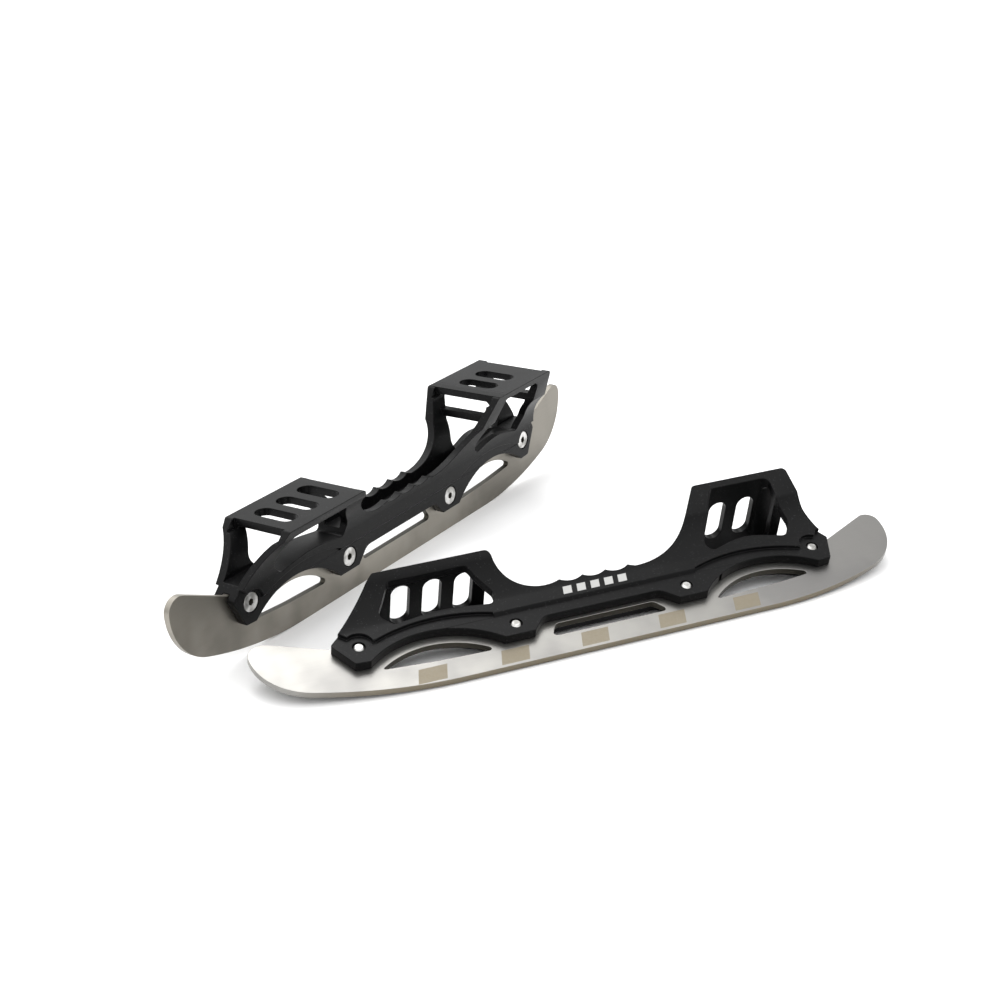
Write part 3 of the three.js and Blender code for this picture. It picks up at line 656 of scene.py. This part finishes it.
ANODISED = (0.0012, 0.0013, 0.0014, 1)
ANODISED_WORN = (0.004, 0.004, 0.0042, 1)
PAINTED_GLINT = (0.07, 0.07, 0.072, 1)
PRINT = (0.42, 0.42, 0.41, 1)
PRINT_FROM = 96.0
PRINT_TO = 130.0
PRINT_LOW = 2.6
PRINT_HIGH = 7.2
PRINT_PITCH = 6.8
PRINT_WIDTH = 4.2


def frame_finish(side):
    """Bead blasted, black anodised aluminium with painted glints, and a row of plain printed dashes outside."""
    black = Finish(f"anodised_black_{side}")
    place = black.along(side)
    x, y, z = black.split(place)
    grit = black.noise(place, 2600.0, 2.0, 0.6)
    speck = black.node("TexVoronoi", {"feature": "F1"}, {"Vector": place, "Scale": 1500.0}, 0)
    sparse = black.noise(place, 700.0, 1.0, 0.5)
    # Painted glints: sparse lighter flecks standing in for the sparkle of the bead-blasted grain.
    glint = (speck < 0.16) * (sparse > 0.56)
    sheen = black.noise(place, 60.0, 4.0, 0.6)
    along_x = x / MM - z / MM * 0.3 - PRINT_FROM
    step = black.node("Math", {"operation": "MODULO"}, {0: along_x + 100 * PRINT_PITCH, 1: PRINT_PITCH})
    dashes = (step < PRINT_WIDTH) * black.between(along_x, 0.0, PRINT_TO - PRINT_FROM)
    dashes = dashes * black.between(z, PRINT_LOW * MM, PRINT_HIGH * MM)
    dashes = dashes * (y * OUTER_SIDE[side] > CLAMP_HALF * MM)
    colour = black.mix(sheen * 0.6 + grit * 0.4, ANODISED, ANODISED_WORN)
    colour = black.mix(glint, colour, PAINTED_GLINT)
    colour = black.mix(dashes, colour, PRINT)
    black.set(base_color=colour)
    black.set(roughness=0.24 + sheen * 0.1 + grit * 0.1 + dashes * 0.2)
    black.set(metallic=0.0)
    black.surface.inputs["Specular IOR Level"].default_value = 0.12
    black.bump(grit * 0.6 + speck * 0.4, 0.25, 0.03)
    return black.material


for side in ("right", "left"):
    piece = mill_frame(-OUTER_SIDE[side])
    piece.name = piece.data.name = f"{side}_milled_frame"
    lay(piece, side)
    piece.data.materials.append(frame_finish(side))
    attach(piece, "root")
    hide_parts(f"{side}_frame")

# ------------------------------------------------------------------ screws
# Four M5 countersunk socket screws pass through one cheek and the blade and bite in the other
# cheek. They are satin stainless, with a 3 mm hex socket and a flat, chamfered tip level with the cheek.

HEAD_FACE = 5.75
HEAD_RIM = 4.6
SHANK = 2.5
TIP = -6.0
profile = (
    [(0.0, TIP), (1.7, TIP), (SHANK, TIP + 0.8), (SHANK, 2.85), (HEAD_RIM, 5.35)]
    + arc(HEAD_RIM - 0.25, 5.5, 0.25, 0, 90, 30.0)
    + [(0.0, HEAD_FACE)]
)
points = [Vector((radius, y, 0)) * MM for radius, y in profile]
bpy.ops.object.select_all(action="DESELECT")
bpy.ops.mesh.primitive_plane_add(size=MM)
screw = bpy.context.object
bpy.ops.object.mode_set(mode="EDIT")
bpy.ops.mesh.select_all(action="SELECT")
bpy.ops.mesh.merge(type="CENTER")
bpy.ops.transform.translate(value=points[0])
for here, there in zip(points, points[1:]):
    bpy.ops.mesh.extrude_vertices_move(TRANSFORM_OT_translate={"value": there - here})
bpy.ops.mesh.select_all(action="SELECT")
bpy.ops.mesh.spin(steps=48, angle=2 * math.pi, center=(0, 0, 0), axis=(0, 1, 0))
bpy.ops.mesh.select_all(action="SELECT")
bpy.ops.mesh.remove_doubles(threshold=0.01 * MM)
bpy.ops.mesh.normals_make_consistent(inside=False)
bpy.ops.object.mode_set(mode="OBJECT")
machine(screw, pin(0, 0, HEAD_FACE - 2.0, HEAD_FACE + 2.0, 3.0 / math.sqrt(3), sides=6))
break_edges(screw, 0.12, 2, 35.0)

SCREW_STEEL = (0.66, 0.655, 0.64, 1)
SCREW_SHADE = (0.3, 0.295, 0.28, 1)
# Painted shade for the inside of the hex socket.
SOCKET_PAINTED_SHADE = (0.035, 0.033, 0.026, 1)
SOCKET_REACH = 1.85


def screw_finish(side):
    """Satin stainless, slightly mottled and pitted."""
    satin = Finish(f"satin_screw_{side}")
    place = satin.along(side)
    speck = satin.noise(place, 1500.0, 3.0, 0.6)
    cloud = satin.noise(place, 240.0, 2.0, 0.5)
    satin.set(base_color=satin.mix(satin.ranged(cloud, 0.35, 0.65), SCREW_STEEL, SCREW_SHADE), metallic=1.0)
    satin.set(roughness=0.22 + cloud * 0.12 + speck * 0.08)
    satin.bump(speck, 0.3, 0.05)
    return satin.material


def socket_shade_finish(side):
    """The bottom of the hex, painted dark as shade in the recess."""
    dark = Finish(f"socket_painted_shade_{side}")
    shade_noise = dark.noise(dark.along(side), 900.0, 3.0, 0.6)
    dark.set(base_color=dark.mix(shade_noise, SOCKET_PAINTED_SHADE, (0.07, 0.066, 0.05, 1)), metallic=0.6)
    dark.set(roughness=0.45 + shade_noise * 0.3)
    return dark.material


for side in ("right", "left"):
    satin = screw_finish(side)
    # The second finish is the hex socket's painted shade.
    socket = socket_shade_finish(side)
    for number, (x, z) in enumerate(SCREWS, 1):
        piece = copy_of(screw, f"{side}_socket_screw_{number}")
        piece.data.materials.append(satin)
        piece.data.materials.append(socket)
        for face in piece.data.polygons:
            middle = face.center / MM
            # Faces inside the hex get the painted shade.
            in_hex = math.hypot(middle.x, middle.z) < SOCKET_REACH and 3.0 < middle.y < HEAD_FACE - 0.08
            face.material_index = int(in_hex)
        if OUTER_SIDE[side] > 0:
            piece.rotation_euler = (0, 0, math.pi)
        piece.location = Vector((x, 0, z)) * MM
        select_only(piece)
        bpy.ops.object.transform_apply(location=True, rotation=True, scale=True)
        lay(piece, side)
        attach(piece, "root")
        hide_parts(f"{side}_screw_{number}")
bpy.data.objects.remove(screw)

# ------------------------------------------------------------------ floor, light and camera
# A plain white sweep under a large soft light, with a dimmer room in front of it.

bpy.ops.object.select_all(action="DESELECT")
bpy.ops.mesh.primitive_plane_add(size=60.0, location=(0, 0, 0))
floor = bpy.context.object
floor.name = "floor"
paper = Finish("white_paper")
paper.set(base_color=(0.92, 0.92, 0.92, 1), roughness=0.9)
paper.surface.inputs["Specular IOR Level"].default_value = 0.0
floor.data.materials.append(paper.material)


world = bpy.context.scene.world or bpy.data.worlds.new("room")
bpy.context.scene.world = world
world.use_nodes = True
nodes, links = world.node_tree.nodes, world.node_tree.links
nodes.clear()
where = nodes.new("ShaderNodeTexCoord")
parts = nodes.new("ShaderNodeSeparateXYZ")
ramp = nodes.new("ShaderNodeValToRGB")
sky = nodes.new("ShaderNodeBackground")
out = nodes.new("ShaderNodeOutputWorld")
links.new(where.outputs["Generated"], parts.inputs[0])
links.new(parts.outputs["Z"], ramp.inputs["Fac"])


def patch(towards, rim, core, value):
    """A number that turns from 1 into a value round one direction of the room."""
    facing = nodes.new("ShaderNodeVectorMath")
    facing.operation = "DOT_PRODUCT"
    facing.inputs[1].default_value = Vector(towards).normalized()
    spread = nodes.new("ShaderNodeMapRange")
    spread.interpolation_type = "SMOOTHSTEP"
    spread.inputs["From Min"].default_value = rim
    spread.inputs["From Max"].default_value = core
    spread.inputs["To Min"].default_value = 1.0
    spread.inputs["To Max"].default_value = value
    links.new(where.outputs["Generated"], facing.inputs[0])
    links.new(facing.outputs["Value"], spread.inputs["Value"])
    return spread.outputs["Result"]


def times(first, second):
    product = nodes.new("ShaderNodeMath")
    product.operation = "MULTIPLY"
    links.new(first, product.inputs[0])
    links.new(second, product.inputs[1])
    return product.outputs[0]


softbox = patch((-0.12, 0.42, 0.9), 0.955, 0.99, 3.1)
flag = patch((0.42, 0.56, 0.71), 0.93, 0.995, 0.38)
links.new(times(ramp.outputs["Color"], times(softbox, flag)), sky.inputs["Color"])
links.new(sky.outputs["Background"], out.inputs["Surface"])
ramp.color_ramp.elements.new(0.4)
for element, (height, light) in zip(ramp.color_ramp.elements, ((0.0, 0.2), (0.4, 0.72), (0.75, 1.0))):
    element.position = height
    element.color = (light, light, light, 1)
sky.inputs["Strength"].default_value = 1.85

bpy.ops.object.camera_add()
camera = bpy.context.object
camera.name = "camera"
camera.data.sensor_width = 36.0
camera.data.lens = 36.0 * 1.68393
camera.data.clip_start = 0.01
ELEVATION = math.radians(22.524)
ROLL = math.radians(-2.626)
eye = Vector((0.11538, -0.66729, 0.345))
camera.location = eye + Vector((SPOT["right"].x, SPOT["right"].y, 0))
look = Euler((math.pi / 2 - ELEVATION, 0, 0)).to_matrix() @ Euler((0, 0, ROLL)).to_matrix()
camera.rotation_euler = look.to_euler()
bpy.context.scene.camera = camera
bpy.context.scene.view_settings.view_transform = "Standard"
